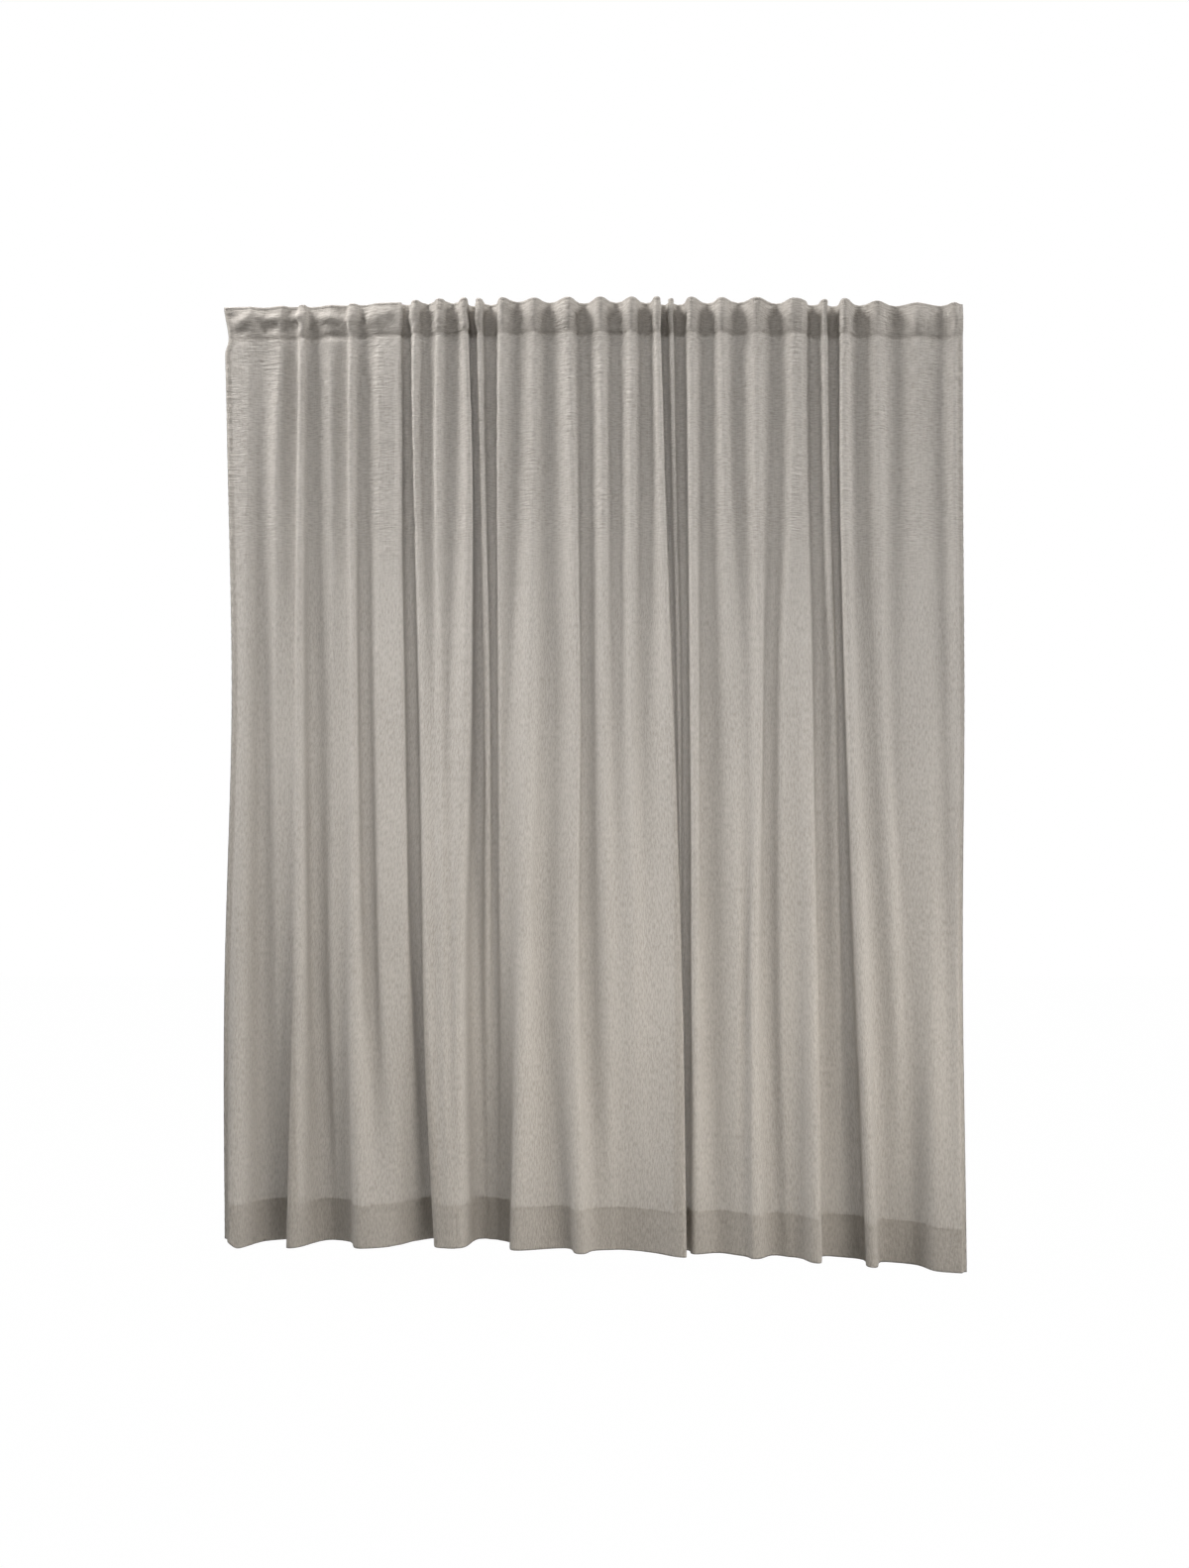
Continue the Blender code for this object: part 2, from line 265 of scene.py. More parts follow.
# %% The fold lines
# place: millimetres to the right of the middle, at the top, upper, middle, low and hem stations.
# forward: millimetres towards the room at the upper, middle, low and hem stations. At the top
# station it is what it is at the upper one.
FOLD_LINES = (
    # line, then place at five stations, then forward at four
    ("edge", (-972, -964, -952, -970, -965), (2, 4, 6, 28)),
    ("crest", (-908, -912, -915, -932, -944), (10, 12, 22, 54)),
    ("valley", (-866, -872, -873, -872, -856), (-14, -26, -36, -40)),
    ("crest", (-822, -834, -832, -830, -826), (10, 2, -20, -50)),
    ("valley", (-789, -791, -789, -799, -797), (-18, 2, -20, -58)),
    ("crest", (-766, -770, -775, -774, -793), (22, 22, 28, 46)),
    ("valley", (-741, -744, -742, -728, -696), (-28, -32, -36, -48)),
    ("crest", (-692, -692, -682, -681, -671), (4, -2, 0, -42)),
    ("valley", (-655, -658, -650, -660, -658), (-14, 2, 0, -36)),
    ("crest", (-636, -639, -631, -628, -608), (22, 22, 32, 50)),
    ("valley", (-606, -607, -605, -585, -556), (-20, -22, -12, 40)),
    ("crest", (-564, -562, -562, -548, -518), (14, 14, 16, 16)),
    ("crest", (-515, -514, -510, -499, -468), (10, 16, 14, -34)),
    ("valley", (-498, -492, -484, -463, -413), (-36, -42, -48, -62)),
    ("crest", (-470, -470, -447, -434, -408), (22, 12, 26, 44)),
    ("valley", (-438, -438, -424, -416, -393), (-18, 6, 22, 47)),
    ("crest", (-406, -411, -402, -395, -377), (22, 16, 30, 50)),
    ("valley", (-372, -375, -385, -374, -367), (-18, 6, 26, 50)),
    ("crest", (-342, -331, -338, -358, -358), (24, 26, 32, 46)),
    ("valley", (-318, -310, -298, -310, -290), (-46, -54, -48, -72)),
    ("crest", (-304, -296, -282, -281, -276), (18, 14, -30, -68)),
    ("valley", (-274, -272, -265, -263, -260), (-38, -34, -40, -66)),
    ("crest", (-241, -247, -246, -244, -247), (22, 8, -16, -58)),
    ("valley", (-203, -212, -229, -237, -239), (-14, -2, -12, -54)),
    ("crest", (-158, -160, -172, -187, -206), (18, 26, 32, 46)),
    ("valley", (-118, -118, -117, -133, -76), (-20, -16, -10, -4)),
    ("crest", (-70, -61, -46, -54, -38), (22, 20, 22, 54)),
    ("valley", (-28, -23, -31, -23, 6), (-28, -26, -18, 8)),
    ("crest", (14, 20, 24, 38, 42), (22, 16, 10, -2)),
    ("valley", (57, 55, 60, 66, 68), (-22, -8, 8, -8)),
    ("crest", (97, 96, 96, 104, 112), (22, 16, 14, 0)),
    ("valley", (136, 138, 130, 140, 150), (-24, -6, 10, 16)),
    ("crest", (163, 172, 194, 224, 231), (24, 24, 22, 62)),
    ("valley", (187, 196, 214, 220, 214), (-42, -40, -34, -16)),
    ("crest", (200, 206, 221, 226, 221), (12, -20, -28, -20)),
    ("valley", (220, 226, 237, 240, 238), (-42, -44, -40, -20)),
    ("crest", (253, 254, 261, 264, 264), (22, 24, 24, 24)),
    ("valley", (298, 296, 290, 292, 326), (-24, -22, -14, 2)),
    ("crest", (333, 338, 358, 377, 372), (20, 16, 16, 20)),
    ("valley", (378, 375, 402, 396, 392), (-20, 4, 10, 30)),
    ("crest", (424, 424, 430, 413, 416), (22, 20, 26, 54)),
    ("valley", (479, 478, 458, 456, 478), (-24, -18, -14, 2)),
    ("crest", (521, 522, 500, 497, 510), (20, 14, 8, 12)),
    ("valley", (537, 540, 530, 530, 528), (16, 12, 6, 14)),
    ("crest", (550, 552, 557, 569, 575), (4, 20, 34, 62)),
    ("valley", (576, 583, 593, 601, 612), (-36, -34, -36, -28)),
    ("crest", (603, 608, 628, 644, 648), (14, -8, -22, -32)),
    ("valley", (628, 630, 646, 667, 696), (-42, -38, -34, -36)),
    ("crest", (654, 652, 668, 699, 722), (24, 24, 28, 46)),
    ("valley", (698, 699, 708, 744, 770), (-24, -12, -12, -34)),
    ("crest", (740, 743, 755, 790, 808), (14, 8, 2, -34)),
    ("valley", (792, 790, 785, 824, 837), (-22, -10, -8, -28)),
    ("crest", (846, 846, 870, 888, 897), (8, 8, 14, 38)),
    ("valley", (912, 914, 923, 928, 931), (-16, -8, 8, 44)),
    ("crest", (943, 943, 949, 949, 952), (12, 10, 16, 46)),
    ("edge", (967, 968, 971, 967, 972), (-2, -2, 2, 30)),
)
print(len(FOLD_LINES), "lines, from", FOLD_LINES[0][0], "to", FOLD_LINES[-1][0])

# %% The cloth's line in plan
CREST_BENDS = (12 * MM, 26 * MM)  # radius of the cloth over a crest, at the top and at the hem
VALLEY_BENDS = (20 * MM, 30 * MM)
STEEPEST_LEAN = 1.2  # the steepest slope with which the cloth passes a fold line
LEAST_SPAN = 1 * MM
FINE_STEPS = 24  # plan points from one fold line to the next


def smooth_step(t):
    """Eases from 0 to 1 as t goes from 0 to 1."""
    t = np.clip(t, 0.0, 1.0)
    return t * t * (3 - 2 * t)


def smooth_along(stations, values, at):
    """A smooth curve through each row of values at the stations, read at one distance."""
    stations = np.asarray(stations, float)
    slopes = np.gradient(values, stations, axis=1)
    right = int(np.clip(np.searchsorted(stations, at), 1, len(stations) - 1))
    left = right - 1
    span = stations[right] - stations[left]
    t = (at - stations[left]) / span
    return (
        values[:, left] * (2 * t**3 - 3 * t**2 + 1)
        + values[:, right] * (3 * t**2 - 2 * t**3)
        + slopes[:, left] * span * (t**3 - 2 * t**2 + t)
        + slopes[:, right] * span * (t**3 - t**2)
    )


def fold_lines_at(drop):
    """Place and forward depth of every fold line at a distance below the top edge."""
    places = np.array([place for _, place, _ in FOLD_LINES]) * MM
    depths = np.array([(depth[0], *depth) for _, _, depth in FOLD_LINES]) * MM
    return smooth_along(STATIONS, places, drop), smooth_along(STATIONS, depths, drop)


def leans(across, rise):
    """The slope of the cloth at each fold line: none on a crest or in a valley."""
    lean = np.zeros(len(across) + 1)
    before, after = rise[:-1], rise[1:]
    climbs = before * after > 0
    mean_rise = np.where(climbs, 2 * before * after / np.where(climbs, before + after, 1.0), 0.0)
    mean_across = (np.abs(across[:-1]) + np.abs(across[1:])) / 2 + LEAST_SPAN
    lean[1:-1] = np.clip(mean_rise / mean_across, -STEEPEST_LEAN, STEEPEST_LEAN)
    return lean


def section(drop, depth_scale, steps):
    """The cloth's line in plan at one height, as points (x, forward)."""
    x, forward = fold_lines_at(drop)
    forward = forward * depth_scale
    across, rise = np.diff(x), np.diff(forward)
    lean = leans(across, rise)
    ends = [CREST_BENDS if line == "crest" else VALLEY_BENDS for line, _, _ in FOLD_LINES]
    bend = np.array([top + (hem - top) * smooth_step(drop / DROP) for top, hem in ends])
    least = 0.6 * np.hypot(across, 0.3 * rise)
    most = 2.5 * np.hypot(across, 0.5 * rise)
    pull_away = np.clip(np.sqrt(6 * np.abs(rise) * bend[:-1]), least, most)
    pull_home = np.clip(np.sqrt(6 * np.abs(rise) * bend[1:]), least, most)
    t = (np.arange(steps) / steps)[None, :]
    ease = 3 * t**2 - 2 * t**3
    leaving = pull_away[:, None] * (t**3 - 2 * t**2 + t)
    arriving = pull_home[:, None] * (t**3 - t**2)
    points_x = x[:-1, None] + across[:, None] * ease + leaving + arriving
    slopes = lean[:-1, None] * leaving + lean[1:, None] * arriving
    points_forward = forward[:-1, None] + rise[:, None] * ease + slopes
    return np.append(points_x, x[-1]), np.append(points_forward, forward[-1])


def length_along(x, forward):
    """The distance along the cloth from its left edge to each point of a section."""
    return np.append(0.0, np.cumsum(np.hypot(np.diff(x), np.diff(forward))))


def depth_scale_at(drop):
    """How much deeper than in the table the folds are, so that the cloth keeps its flat width."""
    low, high = 0.5, 1.8
    for _ in range(20):
        middle = (low + high) / 2
        if length_along(*section(drop, middle, 12))[-1] < FLAT_WIDTH:
            low = middle
        else:
            high = middle
    return (low + high) / 2


print("depth scale at mid height:", round(depth_scale_at(DROP / 2), 3))

# %% [markdown]
# ## One grid of cloth
#
# The front of the curtain becomes a grid. Its columns follow the fold lines, so that no crease
# cuts across a face, and there are more of them where a fold takes more cloth and in the side
# hems. Its rows are close together where the cloth is worked most: in the heading and at the hem.
# Every point also keeps its place on the flat cloth, which is what the weave follows later.

# %% Lay the front of the cloth
COLUMN_SPACING = 8.8 * MM
LEFT_SPACING = 6.8 * MM  # the left part of the heading has the finest creases
LEFT_PART = -480 * MM
CREST_CROWDING = 1.5  # columns stand closer together towards a crest
HOOK_DROP = 42 * MM  # the hooks hold the valleys back at this height
HOOK_REACH = 26 * MM
HOOK_PULL = 6 * MM
SLACK_PART = -430 * MM  # left of here the heading holds less of the folds' depth
SLACK_FAR = -800 * MM  # and left of here it takes longer to come back
SLACK_EASE = 90 * MM
SLACK_LOSS = 0.64
SLACK_FALL = 0.12  # the drop over which the depth comes back
SLACK_FAR_FALL = 0.50
EAR_DRAW = 10 * MM  # the left edge flares out from the heading seam to the top corner
EAR_REACH = 45 * MM
EAR_FADE = 40 * MM
SIDE_HEM = 16 * MM
SIDE_HEM_COLUMNS = 3
ROW_BANDS = (
    # from, to and spacing
    (0.0, 0.012, 2 * MM),
    (0.012, HEADING_HEIGHT, 4 * MM),
    (HEADING_HEIGHT, 0.20, 6.5 * MM),
    (0.20, 1.10, 9 * MM),
    (1.10, 2.36, 17 * MM),
    (2.36, DROP - 0.008, 9 * MM),
    (DROP - 0.008, DROP, 4 * MM),
)


def heading_share(drop):
    """What the heading does to the folds' depth: flared at the top edge, drawn in at the seam."""
    down = smooth_step(drop / HEADING_HEIGHT)
    out = smooth_step((drop - HEADING_HEIGHT) / LET_OUT)
    in_band = TOP_FLARE + (HEADING_DRAW_IN - TOP_FLARE) * down
    return in_band + (1 - in_band) * out


def edge_height(values, x):
    """The outline at x: straight stretches between the table's places, eased where they meet."""
    places = np.array(EDGE_PLACES) * MM
    heights = np.array(values) * MM
    shifted = [np.interp(x + ease, places, heights) for ease in (-EDGE_EASE, 0, EDGE_EASE)]
    return np.mean(shifted, axis=0)


def columns_per_span():
    """How many columns each stretch between two fold lines gets, from its length of cloth."""
    counts = []
    for drop in (0.3, DROP / 2, DROP):
        length = length_along(*section(drop, depth_scale_at(drop), FINE_STEPS))
        counts.append(np.diff(length[::FINE_STEPS]))
    places = np.array([place[0] for _, place, _ in FOLD_LINES[1:]]) * MM
    spacing = np.where(places < LEFT_PART, LEFT_SPACING, COLUMN_SPACING)
    return np.clip(np.round(np.mean(counts, axis=0) / spacing), 2, 16).astype(int)


def column_lengths(length, counts):
    """Where the columns lie along a section whose points are length from the left edge."""
    at_lines = length[::FINE_STEPS]
    hem = np.linspace(0, SIDE_HEM, SIDE_HEM_COLUMNS + 1)
    parts = [hem[:-1], np.linspace(SIDE_HEM, at_lines[1], counts[0] + 1)[:-1]]
    for span in range(1, len(counts) - 1):
        t = np.arange(counts[span]) / counts[span]
        from_crest = FOLD_LINES[span][0] == "crest"
        to_crest = FOLD_LINES[span + 1][0] == "crest"
        if from_crest and not to_crest:
            t = t**CREST_CROWDING
        if to_crest and not from_crest:
            t = 1 - (1 - t) ** CREST_CROWDING
        parts.append(at_lines[span] + (at_lines[span + 1] - at_lines[span]) * t)
    total = length[-1]
    parts.append(np.linspace(at_lines[-2], total - SIDE_HEM, counts[-1] + 1)[:-1])
    parts.append(total - hem[::-1])
    return np.concatenate(parts)


def slack_share(x, drop):
    """The folds' depth at the top of the left part, where the cloth hangs in slack puffs."""
    left = smooth_step((SLACK_PART - x) / SLACK_EASE)
    far_left = smooth_step((SLACK_FAR - x) / SLACK_EASE)
    fall = SLACK_FALL + (SLACK_FAR_FALL - SLACK_FALL) * far_left
    return 1 - SLACK_LOSS * left * (1 - smooth_step((drop - HEADING_HEIGHT / 2) / fall))


def front_row(drop, counts):
    """One row of the front: its points, and how far along the flat cloth each one is."""
    x, forward = section(drop, depth_scale_at(drop) * heading_share(drop), FINE_STEPS)
    forward = forward * slack_share(x, drop)
    length = length_along(x, forward)
    along = column_lengths(length, counts)
    x = np.interp(along, length, x)
    forward = np.interp(along, length, forward)
    fade = 1 - smooth_step(drop / HEADING_HEIGHT)
    stands = np.clip(forward / CREST_DEPTH, -1, 1) * CREST_LIFT * fade
    if drop < HEADING_HEIGHT:
        forward = forward + HEADING_PUFF * np.sin(np.pi * drop / HEADING_HEIGHT)
    held_back = np.exp(-(((drop - HOOK_DROP) / HOOK_REACH) ** 2))
    forward = forward + HOOK_PULL * held_back * np.clip(forward / CREST_DEPTH, -1, 0.2)
    by_edge = smooth_step(1 - (x - x.min()) / EAR_REACH)
    drawn = smooth_step(drop / HEADING_HEIGHT) - smooth_step((drop - HEADING_HEIGHT) / EAR_FADE)
    x = x + EAR_DRAW * by_edge * drawn
    top = edge_height(TOP_HEIGHTS, x)
    hem = -edge_height(HEM_DROPS, x)
    z = top + (hem - top) * drop / DROP + stands
    near_corner = smooth_step(1 - (x - x.min()) / CORNER_WIDTH)
    z = z + CORNER_LIFT * near_corner * smooth_step(1 - (DROP - drop) / CORNER_HEIGHT)
    return np.stack([x, -forward, z], axis=1), along * FLAT_WIDTH / length[-1]


row_drops = [0.0]
for start, end, spacing in ROW_BANDS:
    steps = max(1, round((end - start) / spacing))
    row_drops.extend(start + (end - start) * np.arange(1, steps + 1) / steps)
row_drops = np.array(row_drops)
counts = columns_per_span()
rows = [front_row(drop, counts) for drop in row_drops]
front = np.array([points for points, _ in rows])
along = np.array([length for _, length in rows])
down = np.repeat(row_drops[:, None], front.shape[1], axis=1)
print("front grid:", front.shape[0], "rows of", front.shape[1], "points")

# %% [markdown]
# ## Creases, puckers and slack
#
# Real voile is never as smooth as its folds. The heading puffs out between the places where it is
# held, the sewn side edges pucker, flat stretches sag into faint level wrinkles, and packing and
# handling leave creases. The main creases are listed in a table. The rest is a soft
# random relief with a fixed seed. All of it moves the cloth along its own normal, so a fold keeps
# its width and its place.

# %% Place the creases
# Each crease: place across and down, length, tilt above the level, width and height.
CREASES = (
    # across, down, length, tilt, width and rise
    (-863, 44, 54, -58, 6, 3.5),
    (-852, 50, 50, -62, 5, -3.0),
    (-793, 55, 54, -70, 6, -3.0),
    (-784, 52, 50, -70, 5, 2.5),
    (-700, 84, 110, 4, 6, -3.0),
    (-648, 40, 40, 80, 6, 2.0),
    (-600, 50, 60, -66, 6, -3.0),
    (-560, 86, 90, 2, 6, -2.0),
    (-840, 445, 82, -18, 9, 1.6),
    (-926, 520, 60, 4, 9, -1.4),
    (-835, 580, 62, 0, 10, 1.2),
    (-930, 332, 50, 14, 8, 1.2),
    (-710, 262, 50, -30, 9, 1.3),
    (-690, 545, 80, 3, 9, 1.3),
    (-690, 585, 86, -3, 9, -1.2),
    (-684, 640, 80, 2, 10, 1.2),
    (-700, 700, 64, 5, 10, -1.0),
    (-545, 545, 84, 2, 9, 1.2),
    (-548, 608, 86, 0, 9, -1.3),
    (-550, 660, 76, 3, 10, 1.0),
    (-540, 712, 84, -2, 10, 1.2),
    (-570, 925, 50, 4, 10, 1.2),
    (-760, 965, 60, 16, 10, 1.2),
    (-686, 1038, 60, 6, 10, 1.2),
    (-508, 1015, 40, -50, 10, 1.4),
    (-511, 430, 900, 90, 7, 7.0),
    (-470, 600, 62, -58, 12, -2.2),
    (-378, 600, 70, -62, 12, 2.4),
    (-392, 655, 60, -66, 11, -1.8),
    (-610, 700, 34, 40, 9, 1.2),
    (-836, 1188, 90, 0, 10, 1.0),
    (-320, 300, 46, 40, 10, 1.2),
    (-120, 860, 70, 8, 12, 1.0),
    (-60, 1640, 90, -52, 16, 1.8),
    (-100, 1900, 120, -62, 18, 2.2),
    (-830, 2130, 90, -48, 14, 2.0),
    (-870, 2060, 80, -60, 14, -1.8),
    (-790, 1960, 110, -70, 16, 2.0),
    (-340, 2180, 96, -4, 10, -1.8),
    (-350, 1940, 80, 8, 12, 1.2),
    (-590, 1700, 80, 10, 12, 1.0),
    (-470, 1870, 120, -74, 16, 1.6),
    (-330, 1660, 60, 6, 12, 1.0),
    (-120, 2240, 130, -72, 16, 2.0),
    (30, 2120, 160, 78, 18, 2.2),
    (120, 2210, 140, -76, 16, 2.0),
    (340, 2190, 110, 38, 14, 1.4),
    (390, 2250, 90, -60, 14, 1.6),
    (300, 770, 76, -6, 12, 1.0),
    (470, 640, 80, 8, 12, 1.0),
    (510, 400, 60, -10, 10, 1.0),
    (560, 580, 56, 20, 10, 1.2),
    (620, 1050, 70, -8, 12, 1.0),
    (420, 1130, 90, 6, 12, -1.0),
    (780, 520, 120, -6, 14, 1.4),
    (860, 470, 100, 10, 14, 1.2),
    (820, 1250, 110, 6, 14, 1.0),
    (700, 1900, 100, 70, 16, 1.6),
    (900, 2060, 110, -64, 16, 1.8),
    (640, 2300, 90, 66, 14, 1.6),
)
print("creases:", len(CREASES))

# %% Place the puffs of the heading
# Each puff or hollow: its middle across and down, half width, half height and rise.
PUFFS = (
    # across, down, half width, half height and rise
    (-950, 26, 14, 10, -4),
    (-918, 36, 15, 16, 8),
    (-932, 68, 15, 12, -5),
    (-903, 20, 8, 20, 4),
    (-880, 26, 14, 12, 5),
    (-867, 62, 9, 13, -5),
    (-846, 32, 15, 11, 9),
    (-842, 58, 10, 10, -4),
    (-822, 24, 8, 22, 4),
    (-806, 62, 8, 14, -4),
    (-783, 30, 14, 11, 9),
    (-782, 56, 10, 14, -5),
    (-738, 58, 10, 22, -5),
    (-706, 34, 34, 16, 9),
    (-668, 40, 18, 14, 5),
    (-690, 78, 42, 9, -4),
    (-607, 46, 8, 20, -7),
    (-578, 40, 26, 24, 10),
    (-540, 26, 20, 14, 4),
    (-503, 30, 10, 34, 6),
    (-484, 44, 9, 20, 5),
    (-432, 20, 12, 9, 4),
    (-330, 36, 16, 20, -4),
    (-232, 34, 12, 16, -4),
    (900, 40, 30, 24, 4),
    (935, 50, 10, 24, -5),
)
print("puffs and hollows:", len(PUFFS))

# %% Shape the fine relief
SLACK = 2.2 * MM  # broad unevenness of the hanging cloth
RUMPLE = 0.9 * MM  # smaller level wrinkles
PUFF_MORE = 4.0 * MM  # how much further some stretches of the heading puff out
GATHER = 1.6 * MM  # small gathers that run down from the heading seam
GATHER_REACH = 45 * MM
SEAM_DENT = 1.4 * MM
SEAM_REACH = 5 * MM
SIDE_DENT = 0.8 * MM  # the sewn line of a side hem
SIDE_DENT_REACH = 4 * MM
LIP = 8 * MM  # the top edge is sewn down this far below itself
LIP_DENT = 1.1 * MM
LIP_REACH = 2 * MM
PUCKER = 1.2 * MM
PUCKER_PITCH = 26 * MM
PUCKER_REACH = 22 * MM
HEM_TOP = 112 * MM  # height of the turned hem
HEM_DRAG = 0.8 * MM  # small pulls along the hem's sewn line
HEM_DRAG_REACH = 26 * MM


def soft_noise(across, down, cell_across, cell_down, seed):
    """Smooth random values from -1 to 1 over cells of the given size."""
    draw = np.random.default_rng(seed)
    a, d = across / cell_across, down / cell_down
    table = draw.uniform(-1, 1, (int(d.max() - d.min()) + 3, int(a.max() - a.min()) + 3))
    a, d = a - a.min(), d - d.min()
    column, row = a.astype(int), d.astype(int)
    ease_a, ease_d = smooth_step(a - column), smooth_step(d - row)
    upper = table[row, column] * (1 - ease_a) + table[row, column + 1] * ease_a
    lower = table[row + 1, column] * (1 - ease_a) + table[row + 1, column + 1] * ease_a
    return upper * (1 - ease_d) + lower * ease_d


def crease_relief(x, drop):
    """The height of all creases of the table at each point."""
    relief = np.zeros_like(x)
    for across, fall, length, tilt, width, rise in CREASES:
        turn = math.radians(tilt)
        dx, dz = x - across * MM, fall * MM - drop
        run = dx * math.cos(turn) + dz * math.sin(turn)
        side = dz * math.cos(turn) - dx * math.sin(turn)
        taper = smooth_step(1 - np.abs(run) / (length * MM / 2))
        relief += rise * MM * taper * np.exp(-((side / (width * MM)) ** 2))
    return relief


def puff_relief(x, drop):
    """The puffs and hollows of the heading."""
    relief = np.zeros_like(x)
    for across, fall, half_width, half_height, rise in PUFFS:
        far = ((x / MM - across) / half_width) ** 2 + ((drop / MM - fall) / half_height) ** 2
        relief += rise * MM * np.exp(-far)
    return relief


def cloth_relief(points, along, drop):
    """How far each point of the front stands out towards the room beyond its plain fold."""
    x = points[..., 0]
    slack = SLACK * soft_noise(along, drop, 0.21, 0.52, 3)
    slack *= smooth_step((drop - HEADING_HEIGHT) / 0.3)
    rumple_where = smooth_step(0.5 + soft_noise(along, drop, 0.16, 0.30, 5))
    rumple = RUMPLE * soft_noise(along, drop, 0.055, 0.024, 7) * rumple_where
    rumple *= smooth_step((drop - HEADING_HEIGHT) / 0.1) * (1 - 0.6 * smooth_step(drop / 1.5))
    in_band = np.clip(drop / HEADING_HEIGHT, 0, 1)
    puff = PUFF_MORE * (0.2 + soft_noise(along, drop * 0, 0.046, 1, 11)) * np.sin(np.pi * in_band)
    gather_fade = np.exp(-np.abs(drop - HEADING_HEIGHT) / GATHER_REACH)
    gather = GATHER * soft_noise(along, drop, 0.017, 0.16, 13) * gather_fade
    seam = -SEAM_DENT * np.exp(-(((drop - HEADING_HEIGHT) / SEAM_REACH) ** 2))
    seam -= LIP_DENT * np.exp(-(((drop - LIP) / LIP_REACH) ** 2))
    from_side = np.minimum(along, FLAT_WIDTH - along)
    beat = np.sin(2 * np.pi * drop / PUCKER_PITCH + 2.2 * soft_noise(drop, along * 0, 0.07, 1, 17))
    worked = 0.35 + 0.65 * (smooth_step((drop - 0.12) / 0.1) - smooth_step((drop - 0.95) / 0.3))
    pucker = PUCKER * beat * worked * np.exp(-((from_side / PUCKER_REACH) ** 2))
    pucker -= SIDE_DENT * np.exp(-(((from_side - SIDE_HEM) / SIDE_DENT_REACH) ** 2))
    above_hem = np.exp(-(((drop - (DROP - HEM_TOP)) / HEM_DRAG_REACH) ** 2))
    hem_drag = HEM_DRAG * soft_noise(along, drop, 0.03, 0.05, 19) * above_hem
    by_hand = crease_relief(x, drop) + puff_relief(x, drop)
    return slack + rumple + puff + gather + seam + pucker + hem_drag + by_hand


def normals_of(points):
    """Unit normals of a grid, towards the room on a sheet that faces the room."""
    across = np.gradient(points, axis=1)
    downwards = np.gradient(points, axis=0)
    normal = np.cross(downwards, across)
    return normal / np.linalg.norm(normal, axis=2, keepdims=True)


relief = cloth_relief(front, along, down)
front = front + normals_of(front) * relief[..., None]
normal = normals_of(front)
print("relief from", round(relief.min() / MM, 1), "to", round(relief.max() / MM, 1), "mm")

# %% [markdown]
# ## Turned hems
#
# All four edges of the panel are turned to the back and sewn: 16 mm at the sides, a deep 112 mm
# at the bottom and a little more than the heading at the top. A hem is the same cloth lying double,
# so the grid simply goes on round each edge and back along the front layer, a little behind it.
# A doubled voile lets less light through, and the hems show darker without any paint.

# %% Turn the edges and make the cloth
LAYER_GAP = 0.9 * MM
TOP_TURN = HEADING_HEIGHT + 6 * MM
CORNER_NEST = 0.45  # where two turned edges cross, the side hem lies this share between the layers


def turned_rows(drops, start, end, count):
    """Row numbers, in order from start to end, that are nearest to evenly spaced drops."""
    nearest = [int(np.argmin(np.abs(drops - drop))) for drop in np.linspace(start, end, count)]
    return list(dict.fromkeys(nearest))


def layers_behind(before, last, after):
    """For each row or column: 1 in a turned edge, 0.5 on its fold and 0 on the front."""
    return np.array([1.0] * before + [0.5] + [0.0] * (last - 1) + [0.5] + [1.0] * after)


turn_top = turned_rows(row_drops, TOP_TURN, 1 * MM, 12)
turn_hem = turned_rows(row_drops, DROP - 4 * MM, DROP - HEM_TOP, 13)
last_row, last_column = len(row_drops) - 1, front.shape[1] - 1
row_order = np.array(turn_top + [0] + list(range(1, last_row)) + [last_row] + turn_hem)
row_behind = layers_behind(len(turn_top), last_row, len(turn_hem))
side = list(range(SIDE_HEM_COLUMNS, 0, -1))
column_order = np.array(
    side + list(range(last_column + 1)) + [last_column - column for column in side[::-1]]
)
column_behind = layers_behind(len(side), last_column, len(side))
side_step = np.where(row_behind > 0.75, -CORNER_NEST, 1)
behind = row_behind[:, None] + column_behind[None, :] * side_step[:, None]
picked = np.ix_(row_order, column_order)
cloth_points = front[picked] - normal[picked] * (behind * LAYER_GAP)[..., None]

# Where each point lies on the flat cloth, turned edges included.
fall = np.concatenate([-row_drops[turn_top], row_drops, 2 * DROP - row_drops[turn_hem]])
flat_along = along[picked]
flat_along[:, : len(side)] *= -1
flat_along[:, -len(side) :] = 2 * FLAT_WIDTH - flat_along[:, -len(side) :]
flat_down = np.repeat(fall[:, None], len(column_order), axis=1)


def lay_flat_map(piece, across, down):
    """Stores the flat cloth's own measure as the piece's UV map, in metres."""
    mesh = piece.data
    layer = mesh.uv_layers.new(name="flat_cloth")
    corner = np.zeros(len(mesh.loops), int)
    mesh.loops.foreach_get("vertex_index", corner)
    flat = np.stack([across.ravel()[corner], -down.ravel()[corner]], axis=1)
    layer.data.foreach_set("uv", flat.ravel())


voile, voile_tree, voile_out = new_material("linen_look_voile")
curtain = grid_object("curtain_cloth", cloth_points, voile)
lay_flat_map(curtain, flat_along, flat_down)
print("cloth:", len(curtain.data.polygons), "faces")

# %% [markdown]
# ## The weave
#
# The voile is woven from uneven linen-look yarn. Two things change from thread to thread: how
# thick the yarn is, and so how much light slips past it, and how far it stands up. The pattern
# reads the flat cloth's own measure, so threads follow the folds. Upright slubs mostly change how
# sheer the cloth is, and level slubs mostly catch the light, as on the real cloth.

# %% Patterns of the yarn
YARN_PITCH = 0.9 * MM


